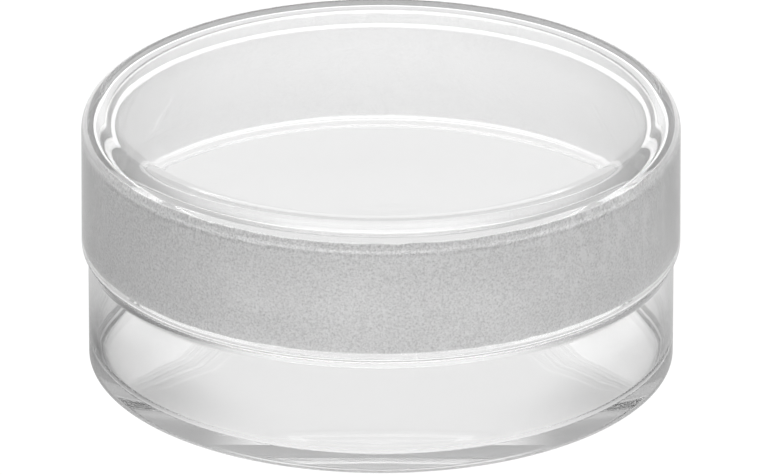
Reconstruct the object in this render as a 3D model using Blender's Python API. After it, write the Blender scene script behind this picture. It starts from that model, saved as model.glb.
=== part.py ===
"""Two-piece covered glass laboratory dish.

A low, round dish of clear glass with a ground (frosted) conical neck, and a deep
overlapping lid whose skirt is ground to match and slips over that neck.  Both
pieces are solids of revolution about the Z axis.  Metres, +Z up, origin at the
centre of the dish's underside.
"""

import math

import bmesh
import bpy

# ---------------------------------------------------------------- dimensions
MM = 0.001

SEGMENTS = 72               # facets round every ring
FIT_GAP = 0.31 * MM         # radial clearance between the two ground cones

# dish body
BODY_R_FOOT = 31.85 * MM    # outside radius just above the foot
BODY_R_TOP = 31.80 * MM     # outside radius just below the ledge
FOOT_ROUND = 0.60 * MM      # outer edge of the underside
LEDGE_Z = 12.65 * MM        # ledge that the lid's rim stops short of
LEDGE_ROUND = 0.60 * MM
BASE_THICK = 1.70 * MM
BODY_BORE_R = 30.45 * MM    # inside radius just above the floor's corner
FLOOR_FILLET_W = 1.30 * MM  # inside corner between floor and wall: across
FLOOR_FILLET_H = 1.30 * MM  # ... and up

# dish neck, the ground zone that the lid slips over
NECK_R = 30.78 * MM         # outside radius at its foot
NECK_TAPER = 1.0 / 20.0     # radius lost per unit of height (a 1 in 10 cone)
NECK_FILLET = 0.20 * MM
NECK_BORE_R = 29.30 * MM    # inside radius at the rim; the bore tapers evenly between
DISH_RIM_Z = 25.30 * MM
DISH_RIM_ROUND = 0.30 * MM

# lid
LID_RIM_Z = 13.00 * MM      # lowest point of the skirt
LID_TOP_Z = 29.00 * MM
LID_R_RIM = 32.50 * MM      # outside radius at the skirt's rim
LID_R_TOP = 32.36 * MM      # outside radius under the shoulder
LID_SHOULDER = 2.40 * MM    # outer rounding between top plate and skirt
LID_PLATE = 1.50 * MM       # thickness of the top plate
LID_CORNER_W = 2.20 * MM    # elliptical inside corner of the lid: across
LID_CORNER_H = 0.90 * MM    # ... and down

# materials: colour, roughness, transmission
CLEAR_GLASS = ((0.93, 0.94, 0.94, 1.0), 0.04, 0.9)


# ------------------------------------------------------------------- helpers
def arc(cx, cz, radius, start, end, steps):
    """Points of an arc in the (r, z) plane, angles in degrees from +r."""
    points = []
    for i in range(steps + 1):
        a = math.radians(start + (end - start) * i / steps)
        points.append((cx + radius * math.cos(a), cz + radius * math.sin(a)))
    return points


def corner(r_wall, z_corner, width, height, start, end, steps):
    """Points of an elliptical corner that meets a wall of radius r_wall at z_corner."""
    return [(r_wall + (r - 1.0) * width, z_corner + z * height)
            for r, z in arc(0.0, 0.0, 1.0, start, end, steps)]


def lathe(name, profile, z_origin):
    """Turn an open (r, z) profile, whose two ends lie on the axis, into a solid."""
    bm = bmesh.new()
    rings = []
    for r, z in profile:
        if r < 1e-9:
            rings.append([bm.verts.new((0.0, 0.0, z - z_origin))])
            continue
        ring = []
        for k in range(SEGMENTS):
            a = 2.0 * math.pi * k / SEGMENTS
            ring.append(bm.verts.new((r * math.cos(a), r * math.sin(a), z - z_origin)))
        rings.append(ring)
    for lower, upper in zip(rings, rings[1:]):
        for k in range(SEGMENTS):
            n = (k + 1) % SEGMENTS
            if len(lower) == 1:
                bm.faces.new((lower[0], upper[k], upper[n]))
            elif len(upper) == 1:
                bm.faces.new((lower[k], upper[0], lower[n]))
            else:
                bm.faces.new((lower[k], upper[k], upper[n], lower[n]))
    bmesh.ops.recalc_face_normals(bm, faces=bm.faces)
    mesh = bpy.data.meshes.new(name)
    bm.to_mesh(mesh)
    bm.free()
    mesh.shade_smooth()
    mesh.set_sharp_from_angle(angle=math.radians(35.0))
    obj = bpy.data.objects.new(name, mesh)
    obj.location = (0.0, 0.0, z_origin)
    bpy.context.scene.collection.objects.link(obj)
    return obj


def glass(name, look):
    colour, roughness, transmission = look
    material = bpy.data.materials.new(name)
    material.use_nodes = True
    shader = material.node_tree.nodes["Principled BSDF"]
    shader.inputs["Base Color"].default_value = colour
    shader.inputs["Roughness"].default_value = roughness
    shader.inputs["Metallic"].default_value = 0.0
    shader.inputs["IOR"].default_value = 1.473
    shader.inputs["Transmission Weight"].default_value = transmission
    return material


def neck_radius(z):
    """Outside radius of the dish's ground neck at height z."""
    return NECK_R - (z - LEDGE_Z - NECK_FILLET) * NECK_TAPER


def dish_profile():
    """From the centre of the underside, up the outside and down the bore."""
    p = [(0.0, 0.0)]
    p += arc(BODY_R_FOOT - FOOT_ROUND, FOOT_ROUND, FOOT_ROUND, -90, 0, 4)
    p += arc(BODY_R_TOP - LEDGE_ROUND, LEDGE_Z - LEDGE_ROUND, LEDGE_ROUND, 0, 90, 4)
    p += arc(NECK_R + NECK_FILLET, LEDGE_Z + NECK_FILLET, NECK_FILLET, 270, 180, 2)
    top = DISH_RIM_Z - DISH_RIM_ROUND
    p += arc(neck_radius(top) - DISH_RIM_ROUND, top, DISH_RIM_ROUND, 0, 90, 3)
    p += arc(NECK_BORE_R + DISH_RIM_ROUND, top, DISH_RIM_ROUND, 90, 180, 3)
    p += corner(BODY_BORE_R, BASE_THICK + FLOOR_FILLET_H, FLOOR_FILLET_W, FLOOR_FILLET_H, 0, -90, 8)
    p += [(0.0, BASE_THICK)]
    return p


def lid_profile():
    """From the centre of the plate's underside, down the skirt and over the top."""
    under = LID_TOP_Z - LID_PLATE
    bore_top = under - LID_CORNER_H
    bore_r = neck_radius(bore_top) + FIT_GAP
    mouth = LID_RIM_Z
    # the rounded rim spans the skirt's wall at its mouth
    rim_r = 0.5 * (LID_R_RIM - (neck_radius(mouth + 0.7 * MM) + FIT_GAP))
    mouth_z = mouth + rim_r
    mouth_r = LID_R_RIM - 2.0 * rim_r
    p = [(0.0, under)]
    p += corner(bore_r, bore_top, LID_CORNER_W, LID_CORNER_H, 90, 0, 6)
    p += arc(mouth_r + rim_r, mouth_z, rim_r, 180, 360, 8)
    p += arc(LID_R_TOP - LID_SHOULDER, LID_TOP_Z - LID_SHOULDER, LID_SHOULDER, 0, 90, 7)
    p += [(0.0, LID_TOP_Z)]
    return p


# --------------------------------------------------------------------- build
def main():
    for obj in list(bpy.data.objects):
        bpy.data.objects.remove(obj, do_unlink=True)

    dish = lathe("dish", dish_profile(), 0.0)
    dish.data.materials.append(glass("dish_glass", CLEAR_GLASS))

    # the lid's origin lies on its lifting axis, at the skirt's rim
    lid = lathe("lid", lid_profile(), LID_RIM_Z)
    lid.data.materials.append(glass("lid_glass", CLEAR_GLASS))
    lid.parent = dish


main()
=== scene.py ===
import math

import bmesh
import bpy
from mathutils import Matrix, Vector, noise


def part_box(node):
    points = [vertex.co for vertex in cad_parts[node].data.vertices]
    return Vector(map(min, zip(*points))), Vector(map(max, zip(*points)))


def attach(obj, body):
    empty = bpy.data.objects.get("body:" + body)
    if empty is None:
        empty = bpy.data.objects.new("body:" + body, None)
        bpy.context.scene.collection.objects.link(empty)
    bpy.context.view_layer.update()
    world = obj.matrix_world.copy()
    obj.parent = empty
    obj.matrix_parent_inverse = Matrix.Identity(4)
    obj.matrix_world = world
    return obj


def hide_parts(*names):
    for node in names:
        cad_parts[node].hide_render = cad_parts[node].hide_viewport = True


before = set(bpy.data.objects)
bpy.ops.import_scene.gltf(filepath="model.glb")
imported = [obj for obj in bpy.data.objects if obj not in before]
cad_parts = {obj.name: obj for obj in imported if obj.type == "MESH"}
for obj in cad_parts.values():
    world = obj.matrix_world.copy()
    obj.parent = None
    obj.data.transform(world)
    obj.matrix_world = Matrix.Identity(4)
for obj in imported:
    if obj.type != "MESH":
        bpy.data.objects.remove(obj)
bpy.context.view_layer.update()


MM = 0.001
SEG = 288                      # divisions round every ring of the fine surfaces

# ------------------------------------------------------------- sizes
# The outside sizes come from the CAD boxes; the walls between them repeat the
# CAD model's own dimensions.
dish_lo, dish_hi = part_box("dish")
lid_lo, lid_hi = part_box("lid")

BODY_R_FOOT = dish_hi.x
BODY_R_TOP = dish_hi.x - 0.05 * MM
FOOT_ROUND = 0.60 * MM
LEDGE_Z = 12.65 * MM
LEDGE_ROUND = 0.60 * MM
BASE_THICK = 1.70 * MM
BODY_BORE_R = 30.45 * MM         # the bore narrows evenly from here to the rim
FLOOR_FILLET_W = 1.30 * MM       # inside corner: an elliptical fillet
FLOOR_FILLET_H = 1.30 * MM
NECK_R = 30.78 * MM
NECK_TAPER = 1.0 / 20.0
NECK_FILLET = 0.20 * MM
NECK_BORE_R = 29.30 * MM
DISH_RIM_Z = dish_hi.z
DISH_RIM_ROUND = 0.30 * MM

FIT_GAP = 0.31 * MM
LID_RIM_Z = lid_lo.z
LID_TOP_Z = lid_hi.z
LID_R_RIM = lid_hi.x
LID_R_TOP = lid_hi.x - 0.14 * MM
LID_SHOULDER = 2.40 * MM
LID_PLATE = 1.50 * MM
LID_CORNER_W = 2.20 * MM         # inner corner of the lid: an elliptical fillet
LID_CORNER_H = 0.90 * MM

# ------------------------------------------------------------- look
# Values for the studio light (tones by side are left, right, back, front) and the glass.
L = dict(
    # under and edge are the tones of a painted shadow on the flag beneath the dish
    floor=1.05, under=0.92, r0=0.0290, r1=0.0316, r2=0.036, squash=0.6,
    close=(0.45, 0.62, 0.66, 0.90), mid=(0.20, 0.42, 0.64, 0.90), outer=(0.62, 1.15, 0.64, 1.00),
    edge=(0.66, 0.70, 0.92, 0.92), behind=0.66, far=1.40, distant=(3.2, 3.2, 1.7, 1.7),
    back=2.2, horizon=0.90, low_side=1.12, h0=0.26, h1=0.38, wide=0.8, a0=0.15, a1=0.50, above=1.05,
    front=0.40, y0=-0.40, y1=0.90, zen=2.6, z0=0.60, z1=0.85, key=7.0, k0=0.58, k1=0.84,
    # the skirt's darkening above the dish's rim is painted shade
    skirt_rough=0.65, skirt_col=0.81, skirt_trans=0.92, skirt_top=26.3, painted_shade_above_rim=0.20,
    neck_rough=0.25, neck_col=1.0, neck_trans=1.0, clear_col=0.96,
    absorb=6.0, rim_trans=0.0, grain=1.7, patch=0.10, rub=0.22,
)


# ------------------------------------------------------------- geometry
def arc(cx, cz, radius, start, end, steps):
    pts = []
    for i in range(steps + 1):
        a = math.radians(start + (end - start) * i / steps)
        pts.append((cx + radius * math.cos(a), cz + radius * math.sin(a)))
    return pts


def subdivide(pts, longest):
    """Extra points on the straight runs, so that the surface can be worked."""
    out = [pts[0]]
    for (r0, z0), (r1, z1) in zip(pts, pts[1:]):
        n = max(1, math.ceil(math.hypot(r1 - r0, z1 - z0) / longest))
        out += [(r0 + (r1 - r0) * i / n, z0 + (z1 - z0) * i / n) for i in range(1, n + 1)]
    return out


def neck_radius(z):
    return NECK_R - (z - LEDGE_Z - NECK_FILLET) * NECK_TAPER


def dish_profile():
    p = [(0.0, 0.0)]
    p += arc(BODY_R_FOOT - FOOT_ROUND, FOOT_ROUND, FOOT_ROUND, -90, 0, 10)
    p += arc(BODY_R_TOP - LEDGE_ROUND, LEDGE_Z - LEDGE_ROUND, LEDGE_ROUND, 0, 90, 10)
    p += arc(NECK_R + NECK_FILLET, LEDGE_Z + NECK_FILLET, NECK_FILLET, 270, 180, 4)
    top = DISH_RIM_Z - DISH_RIM_ROUND
    p += arc(neck_radius(top) - DISH_RIM_ROUND, top, DISH_RIM_ROUND, 0, 90, 6)
    p += arc(NECK_BORE_R + DISH_RIM_ROUND, top, DISH_RIM_ROUND, 90, 180, 6)
    low = BASE_THICK + FLOOR_FILLET_H
    p += [(BODY_BORE_R + (r - 1.0) * FLOOR_FILLET_W, low + z * FLOOR_FILLET_H)
          for r, z in arc(0.0, 0.0, 1.0, 0, -90, 20)]
    p += [(0.0, BASE_THICK)]
    return subdivide(p, 2.4 * MM)


def lid_profile():
    under = LID_TOP_Z - LID_PLATE
    bore_top = under - LID_CORNER_H
    bore_r = neck_radius(bore_top) + FIT_GAP
    rim_r = 0.5 * (LID_R_RIM - (neck_radius(LID_RIM_Z + 0.7 * MM) + FIT_GAP))
    p = [(0.0, under)]
    p += [(bore_r + (r - 1.0) * LID_CORNER_W, bore_top + z * LID_CORNER_H)
          for r, z in arc(0.0, 0.0, 1.0, 90, 0, 16)]
    p += arc(LID_R_RIM - rim_r, LID_RIM_Z + rim_r, rim_r, 180, 360, 16)
    p += arc(LID_R_TOP - LID_SHOULDER, LID_TOP_Z - LID_SHOULDER, LID_SHOULDER, 0, 90, 16)
    p += [(0.0, LID_TOP_Z)]
    return subdivide(p, 2.4 * MM)


def wave(a, r, z, seed):
    """Slow unevenness of a surface that was worked hot, from -1 to 1."""
    v = Vector((r * math.cos(a) / 0.012, r * math.sin(a) / 0.012, z / 0.009 + seed))
    return noise.noise(v) * 0.7 + noise.noise(v * 2.3 + Vector((seed, 3.1, 0.7))) * 0.3


def lathe(name, profile, z_cut, amount, seed):
    """A closed turned piece. Its surface is dented inwards by up to `amount`."""
    bm = bmesh.new()
    rings = []
    count = len(profile)
    for i, (r, z) in enumerate(profile):
        if r < 1e-9:
            rings.append([bm.verts.new((0.0, 0.0, z))])
            continue
        r0, z0 = profile[max(i - 1, 0)]
        r1, z1 = profile[min(i + 1, count - 1)]
        n = Vector((z1 - z0, -(r1 - r0)))       # outward in the (r, z) plane
        if n.length > 0:
            n.normalize()
        ring = []
        for k in range(SEG):
            a = 2.0 * math.pi * k / SEG
            d = -amount * (0.5 + 0.5 * wave(a, r, z, seed))
            rr, zz = r + n.x * d, z + n.y * d
            if zz < z_cut:
                zz = z_cut
            ring.append(bm.verts.new((rr * math.cos(a), rr * math.sin(a), zz)))
        rings.append(ring)
    for lower, upper in zip(rings, rings[1:]):
        for k in range(SEG):
            m = (k + 1) % SEG
            if len(lower) == 1:
                bm.faces.new((lower[0], upper[k], upper[m]))
            elif len(upper) == 1:
                bm.faces.new((lower[k], upper[0], lower[m]))
            else:
                bm.faces.new((lower[k], upper[k], upper[m], lower[m]))
    bmesh.ops.recalc_face_normals(bm, faces=bm.faces)
    mesh = bpy.data.meshes.new(name)
    bm.to_mesh(mesh)
    bm.free()
    mesh.shade_smooth()
    obj = bpy.data.objects.new(name, mesh)
    bpy.context.scene.collection.objects.link(obj)
    return obj


dish = lathe("dish_glass_body", dish_profile(), 0.0, 0.004 * MM, 2.0)
lid = lathe("lid_glass_cover", lid_profile(), -1.0, 0.004 * MM, 11.0)


# ------------------------------------------------------------- materials
def node(tree, kind, **values):
    n = tree.nodes.new(kind)
    for key, value in values.items():
        setattr(n, key, value)
    return n


def math_node(tree, op, a, b=None, c=None):
    n = node(tree, "ShaderNodeMath", operation=op)
    for socket, value in zip(n.inputs, (a, b, c)):
        if value is None:
            continue
        if isinstance(value, (int, float)):
            socket.default_value = value
        else:
            tree.links.new(value, socket)
    return n.outputs[0]


def map_range(tree, value, a0, a1, b0, b1, smooth=True):
    n = node(tree, "ShaderNodeMapRange")
    if smooth:
        n.interpolation_type = "SMOOTHSTEP"
    for key, v in (("From Min", a0), ("From Max", a1), ("To Min", b0), ("To Max", b1)):
        if isinstance(v, (int, float)):
            n.inputs[key].default_value = v
        else:
            tree.links.new(v, n.inputs[key])
    tree.links.new(value, n.inputs["Value"])
    return n.outputs[0]


def noise_tex(tree, vector, scale, detail=2.0, rough=0.5):
    n = node(tree, "ShaderNodeTexNoise")
    n.inputs["Scale"].default_value = scale
    n.inputs["Detail"].default_value = detail
    n.inputs["Roughness"].default_value = rough
    tree.links.new(vector, n.inputs["Vector"])
    return n.outputs[0]


def scuffs(tree, x, y, z, coords):
    """Rubbed, lighter streaks on one side of the ground skirt, and a fine scratch."""
    turn = math_node(tree, "ARCTAN2", y, x)                       # 0 at +X, -pi/2 at the front
    side = math_node(tree, "MULTIPLY", map_range(tree, turn, -1.15, -0.85, 0.0, 1.0),
                     map_range(tree, turn, -0.45, -0.15, 1.0, 0.0))
    along = node(tree, "ShaderNodeCombineXYZ")
    tree.links.new(math_node(tree, "MULTIPLY", turn, 26.0), along.inputs[0])
    tree.links.new(math_node(tree, "ADD", math_node(tree, "MULTIPLY", z, 340.0),
                             math_node(tree, "MULTIPLY", turn, 7.0)), along.inputs[1])
    smear = noise_tex(tree, along.outputs[0], 1.0, 3.0, 0.6)
    smear = map_range(tree, smear, 0.46, 0.66, 0.0, 1.0)
    upper = map_range(tree, z, 16.0 * MM, 22.0 * MM, 0.25, 1.0)
    rub = math_node(tree, "MULTIPLY", math_node(tree, "MULTIPLY", smear, side), upper)
    # the scratch: a thin slanting line
    line = math_node(tree, "ABSOLUTE", math_node(tree, "ADD", math_node(tree, "SUBTRACT", z, 17.6 * MM),
                     math_node(tree, "MULTIPLY", math_node(tree, "ADD", turn, 0.60), 0.012)))
    line = math_node(tree, "MULTIPLY", map_range(tree, line, 0.00004, 0.00010, 1.0, 0.0), math_node(
        tree, "LESS_THAN", math_node(tree, "ABSOLUTE", math_node(tree, "ADD", turn, 0.60)), 0.09))
    return math_node(tree, "ADD", math_node(tree, "MULTIPLY", rub, L["rub"]), math_node(tree, "MULTIPLY", line, 0.12))


def glass_material(name, z_low, z_high, r_low, r_high, ground_rough, ground_col, ground_trans, rim_z=None, painted_shade_above_rim=0.0, marks=False):
    """Clear glass, with the surface ground satin where r and z are in the given ranges."""
    m = bpy.data.materials.new(name)
    m.use_nodes = True
    t = m.node_tree
    bsdf = t.nodes["Principled BSDF"]
    out = t.nodes["Material Output"]
    bsdf.inputs["IOR"].default_value = 1.473
    bsdf.inputs["Transmission Weight"].default_value = 1.0

    coords = node(t, "ShaderNodeTexCoord").outputs["Object"]
    split = node(t, "ShaderNodeSeparateXYZ")
    t.links.new(coords, split.inputs[0])
    x, y, z = split.outputs
    r = math_node(t, "SQRT", math_node(t, "ADD", math_node(t, "MULTIPLY", x, x), math_node(t, "MULTIPLY", y, y)))

    # the ground band: its edges wander a little, and its upper edge is ragged in places
    edge = noise_tex(t, coords, 420.0, 3.0, 0.6)
    ragged = noise_tex(t, coords, 1900.0, 3.0, 0.7)
    worn = map_range(t, noise_tex(t, coords, 55.0, 1.0, 0.5), 0.42, 0.62, 0.0, 1.0)
    worn = math_node(t, "MULTIPLY", worn, map_range(t, x, -0.020, 0.002, 1.0, 0.15))
    wander = math_node(t, "MULTIPLY", math_node(t, "SUBTRACT", edge, 0.5), 0.0003)
    fleck = math_node(t, "MULTIPLY", math_node(t, "MULTIPLY", math_node(t, "SUBTRACT", ragged, 0.5), worn), 0.0011)
    low = math_node(t, "ADD", z, wander)
    high = math_node(t, "ADD", low, fleck)
    band = math_node(
        t, "MULTIPLY",
        map_range(t, low, z_low - 0.00005, z_low + 0.00005, 0.0, 1.0),
        map_range(t, high, z_high - 0.00005, z_high + 0.00005, 1.0, 0.0),
    )
    band = math_node(t, "MULTIPLY", band, math_node(t, "MULTIPLY",
        math_node(t, "GREATER_THAN", r, r_low), math_node(t, "LESS_THAN", r, r_high)))

    rim = None
    if rim_z is not None:
        rim = math_node(t, "GREATER_THAN", z, rim_z)
        band = math_node(t, "MAXIMUM", band, rim)
    grain = noise_tex(t, coords, 4200.0, 3.0, 0.75)
    patches = noise_tex(t, coords, 160.0, 3.0, 0.55)

    rough = math_node(t, "MULTIPLY", band, map_range(t, patches, 0.3, 0.7, ground_rough * 0.92, ground_rough * 1.08))
    t.links.new(rough, bsdf.inputs["Roughness"])

    trans = math_node(t, "SUBTRACT", 1.0, math_node(t, "MULTIPLY", band, 1.0 - ground_trans))
    if rim is not None:
        trans = math_node(t, "SUBTRACT", trans, math_node(t, "MULTIPLY", rim, ground_trans - L["rim_trans"]))
    t.links.new(trans, bsdf.inputs["Transmission Weight"])
    depth = map_range(t, y, -0.012, 0.012, L["grain"], L["grain"] * 0.4)     # finer ground at the back
    shade = math_node(t, "ADD", ground_col, math_node(t, "MULTIPLY", math_node(t, "SUBTRACT", grain, 0.5), depth))
    shade = math_node(t, "ADD", shade, math_node(t, "MULTIPLY", math_node(t, "SUBTRACT", patches, 0.5), L["patch"]))
    # painted shade: where a single ground surface covers the gap above the dish's rim, more light comes through than
    # where two ground layers overlap, so the colour is darkened there
    if marks:
        shade = math_node(t, "ADD", shade, scuffs(t, x, y, z, coords))
    shade = math_node(t, "MINIMUM", math_node(t, "SUBTRACT", shade, map_range(t, z, DISH_RIM_Z - 0.6 * MM, DISH_RIM_Z - 0.2 * MM, 0.0, painted_shade_above_rim)), 1.0)
    mix = node(t, "ShaderNodeMix", data_type="RGBA")
    mix.inputs["A"].default_value = (L["clear_col"],) * 3 + (1,)
    t.links.new(band, mix.inputs["Factor"])
    comb = node(t, "ShaderNodeCombineColor")
    for i in range(3):
        t.links.new(shade, comb.inputs[i])
    t.links.new(comb.outputs[0], mix.inputs["B"])
    t.links.new(mix.outputs["Result"], bsdf.inputs["Base Color"])

    bump = node(t, "ShaderNodeBump")
    bump.inputs["Distance"].default_value = 0.00002
    bump.inputs["Strength"].default_value = 0.6
    t.links.new(math_node(t, "MULTIPLY", grain, band), bump.inputs["Height"])
    t.links.new(bump.outputs[0], bsdf.inputs["Normal"])

    if L["absorb"] > 0:
        vol = node(t, "ShaderNodeVolumeAbsorption")
        vol.inputs["Color"].default_value = (0.0, 0.0, 0.0, 1.0)
        vol.inputs["Density"].default_value = L["absorb"]
        t.links.new(vol.outputs[0], out.inputs["Volume"])
    return m


dish.data.materials.append(glass_material(
    "dish_glass_ground_neck", 14.0 * MM, DISH_RIM_Z + 1.0 * MM, 29.7 * MM, 31.2 * MM,
    L["neck_rough"], L["neck_col"], L["neck_trans"], rim_z=DISH_RIM_Z - 0.28 * MM))
# the lid's skirt, with painted shade above the dish's rim
lid.data.materials.append(glass_material(
    "lid_glass_ground_skirt", 14.0 * MM, L["skirt_top"] * MM, 29.0 * MM, 31.25 * MM,
    L["skirt_rough"], L["skirt_col"], L["skirt_trans"], painted_shade_above_rim=L["painted_shade_above_rim"], marks=True))

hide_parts("dish")
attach(dish, "dish")
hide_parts("lid")
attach(lid, "lid")


# ------------------------------------------------------------- studio
def emitter(name, strength):
    m = bpy.data.materials.new(name)
    m.use_nodes = True
    b = m.node_tree.nodes["Principled BSDF"]
    b.inputs["Base Color"].default_value = (0.0, 0.0, 0.0, 1)
    b.inputs["Specular IOR Level"].default_value = 0.0
    b.inputs["Roughness"].default_value = 1.0
    b.inputs["Emission Color"].default_value = (1, 1, 1, 1)
    b.inputs["Emission Strength"].default_value = strength
    return m, b


def studio():
    me = bpy.data.meshes.new("studio_floor")
    s, z = 4.0, -0.00020
    me.from_pydata([(-s, -s, z), (s, -s, z), (s, s, z), (-s, s, z)], [], [(0, 1, 2, 3)])
    floor = bpy.data.objects.new("studio_floor", me)
    bpy.context.scene.collection.objects.link(floor)
    me.materials.append(emitter("pale_floor", L["floor"])[0])

    # a flag lying round the object: the camera doesn't see it, the glass does,
    # and it draws the dark edges that glass has on a light table; under the dish it carries a painted shadow of the
    # dish
    bm = bmesh.new()
    bmesh.ops.create_circle(bm, cap_ends=True, segments=96, radius=2.0)
    for v in bm.verts:
        v.co.z = -0.00010
    me = bpy.data.meshes.new("studio_flag")
    bm.to_mesh(me)
    bm.free()
    flag = bpy.data.objects.new("studio_flag", me)
    bpy.context.scene.collection.objects.link(flag)
    flag.visible_camera = False
    m, b = emitter("flag", 1.0)
    t = m.node_tree
    split = node(t, "ShaderNodeSeparateXYZ")
    t.links.new(node(t, "ShaderNodeTexCoord").outputs["Object"], split.inputs[0])
    x, y, z = split.outputs
    r = math_node(t, "SQRT", math_node(t, "ADD", math_node(t, "MULTIPLY", x, x), math_node(t, "MULTIPLY", y, y)))
    r = math_node(t, "MAXIMUM", r, 0.001)
    east = math_node(t, "DIVIDE", x, r)
    north = math_node(t, "DIVIDE", y, r)
    def by_side(left, right, back, front):
        flank = map_range(t, east, -0.8, 0.8, left, right)
        rear = map_range(t, north, -0.10, 0.60, flank, back)
        return map_range(t, north, -0.95, -0.45, front, rear)

    close = by_side(*L["close"])
    mid = by_side(*L["mid"])
    outer = by_side(*L["outer"])
    # distance from the dish, stretched towards the back
    back = math_node(t, "MULTIPLY", math_node(t, "MAXIMUM", y, 0.0), L["squash"])
    front = math_node(t, "MINIMUM", y, 0.0)
    q = math_node(t, "ADD", math_node(t, "MULTIPLY", back, back), math_node(t, "MULTIPLY", front, front))
    q = math_node(t, "SQRT", math_node(t, "ADD", math_node(t, "MULTIPLY", x, x), q))
    # painted shadow: beneath the dish the flag is dimmer, falling from the under tone to the edge tones towards the
    # dish's rim
    under = map_range(t, r, 0.018, 0.027, L["under"], by_side(*L["edge"]))
    under = map_range(t, y, 0.028, 0.036, under, L["behind"])
    e = map_range(t, q, L["r0"], L["r1"], under, close)
    e = map_range(t, q, L["r1"], L["r2"], e, mid)
    e = map_range(t, r, 0.044, 0.054, e, outer)
    e = map_range(t, r, 0.070, 0.15, e, L["far"])
    e = map_range(t, r, 0.20, 0.60, e, by_side(*L["distant"]))
    t.links.new(e, b.inputs["Emission Strength"])
    me.materials.append(m)

    w = bpy.data.worlds.new("studio")
    bpy.context.scene.world = w
    w.use_nodes = True
    t = w.node_tree
    t.nodes.clear()
    split = node(t, "ShaderNodeSeparateXYZ")
    t.links.new(node(t, "ShaderNodeTexCoord").outputs["Generated"], split.inputs[0])
    x, y, z = split.outputs
    # the light behind is strongest straight behind and about 20 degrees up
    flat = math_node(t, "SQRT", math_node(t, "ADD", math_node(t, "MULTIPLY", x, x), math_node(t, "MULTIPLY", y, y)))
    aside = math_node(t, "DIVIDE", math_node(t, "ABSOLUTE", x), math_node(t, "MAXIMUM", flat, 0.001))
    behind = map_range(t, aside, L["a0"], L["a1"], L["back"], L["wide"])
    low = map_range(t, aside, L["a0"], L["a1"], L["horizon"], L["low_side"])
    behind = map_range(t, z, L["h0"], L["h1"], low, behind)
    behind = map_range(t, z, 0.42, 0.47, behind, L["above"])
    around = map_range(t, y, L["y0"], L["y1"], L["front"], behind)
    up = map_range(t, z, L["z0"], L["z1"], around, L["zen"])
    key = math_node(t, "MULTIPLY", map_range(t, z, L["k0"], L["k0"] + 0.10, 0.0, 1.0), map_range(t, z, L["k1"], L["k1"] + 0.10, 1.0, 0.0))
    key = math_node(t, "MULTIPLY", key, map_range(t, y, -0.55, -0.15, L["key"], 0.0))
    up = math_node(t, "ADD", up, key)
    bg = node(t, "ShaderNodeBackground")
    t.links.new(up, bg.inputs["Strength"])
    t.links.new(bg.outputs[0], node(t, "ShaderNodeOutputWorld").inputs["Surface"])


studio()

# ------------------------------------------------------------- camera
R = 32.3 * MM
DISTANCE = 30.0 * R
RAISE = math.radians(23.77)
cam = bpy.data.cameras.new("camera")
cam_ob = bpy.data.objects.new("camera", cam)
bpy.context.scene.collection.objects.link(cam_ob)
cam_ob.location = (0.0, -DISTANCE * math.cos(RAISE), 0.43 * R + DISTANCE * math.sin(RAISE))
cam_ob.rotation_euler = (math.pi / 2 - RAISE, 0.0, 0.0)
cam.sensor_width = 36.0
cam.lens = 8925.0 / 760.0 * 36.0
cam.shift_x = -(381.0 - 380.0) / 760.0
cam.shift_y = -(237.5 - 233.84) / 760.0
cam.clip_start = 0.01
cam.clip_end = 20.0
cam.dof.use_dof = False
bpy.context.scene.camera = cam_ob

scene = bpy.context.scene
scene.view_settings.view_transform = "Standard"
scene.cycles.max_bounces = 64
scene.cycles.transmission_bounces = 64
scene.cycles.glossy_bounces = 32
scene.cycles.transparent_max_bounces = 16
